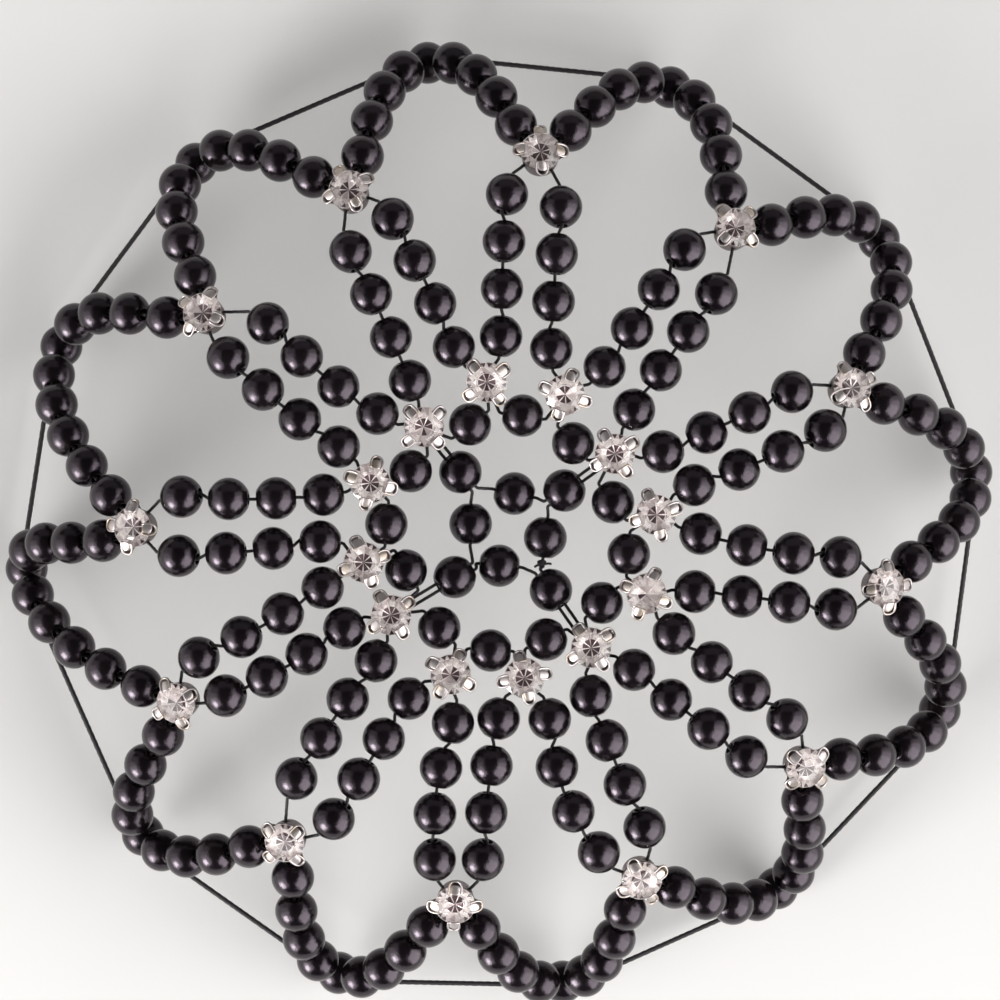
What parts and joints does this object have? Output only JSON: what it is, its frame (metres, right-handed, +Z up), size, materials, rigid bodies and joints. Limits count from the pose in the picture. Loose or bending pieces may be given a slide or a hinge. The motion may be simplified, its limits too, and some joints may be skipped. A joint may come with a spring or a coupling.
{
  "type": "beaded bun net",
  "caption": "Bun net of round beads strung as looped petals between two rings of claw-set crystals, drawn in by an elastic.",
  "frame": {"origin": "on the net's axis, at the height of the elastic that draws its edge in", "axes": "+Z up along the axis, out of the bun; +Y to the top of the picture; +X to its right"},
  "size_m": [0.0908, 0.0884, 0.0247],
  "materials": {
    "pearl_bead": "pearl-coated, near black with a violet tint",
    "thread": "black nylon thread",
    "crystal": "clear, foil-backed",
    "silver_setting": "bright silver plate",
    "elastic": "black braided elastic"
  },
  "bodies": {
    "root": {"petal_beads_1": "pearl_bead", "petal_beads_2": "pearl_bead", "petal_beads_3": "pearl_bead", "petal_beads_4": "pearl_bead", "petal_beads_5": "pearl_bead", "petal_beads_6": "pearl_bead", "petal_beads_7": "pearl_bead", "petal_beads_8": "pearl_bead", "petal_beads_9": "pearl_bead", "petal_beads_10": "pearl_bead", "petal_beads_11": "pearl_bead", "petal_beads_12": "pearl_bead", "petal_thread_1": "thread", "petal_thread_2": "thread", "petal_thread_3": "thread", "petal_thread_4": "thread", "petal_thread_5": "thread", "petal_thread_6": "thread", "petal_thread_7": "thread", "petal_thread_8": "thread", "petal_thread_9": "thread", "petal_thread_10": "thread", "petal_thread_11": "thread", "petal_thread_12": "thread", "ring_beads": "pearl_bead", "ring_thread": "thread", "centre_beads": "pearl_bead", "centre_thread": "thread", "elastic": "elastic", "inner_settings": "silver_setting", "outer_settings": "silver_setting", "inner_crystal_1": "crystal", "inner_crystal_2": "crystal", "inner_crystal_3": "crystal", "inner_crystal_4": "crystal", "inner_crystal_5": "crystal", "inner_crystal_6": "crystal", "inner_crystal_7": "crystal", "inner_crystal_8": "crystal", "inner_crystal_9": "crystal", "inner_crystal_10": "crystal", "inner_crystal_11": "crystal", "inner_crystal_12": "crystal", "outer_crystal_1": "crystal", "outer_crystal_2": "crystal", "outer_crystal_3": "crystal", "outer_crystal_4": "crystal", "outer_crystal_5": "crystal", "outer_crystal_6": "crystal", "outer_crystal_7": "crystal", "outer_crystal_8": "crystal", "outer_crystal_9": "crystal", "outer_crystal_10": "crystal", "outer_crystal_11": "crystal", "outer_crystal_12": "crystal"}
  },
  "joints": []
}
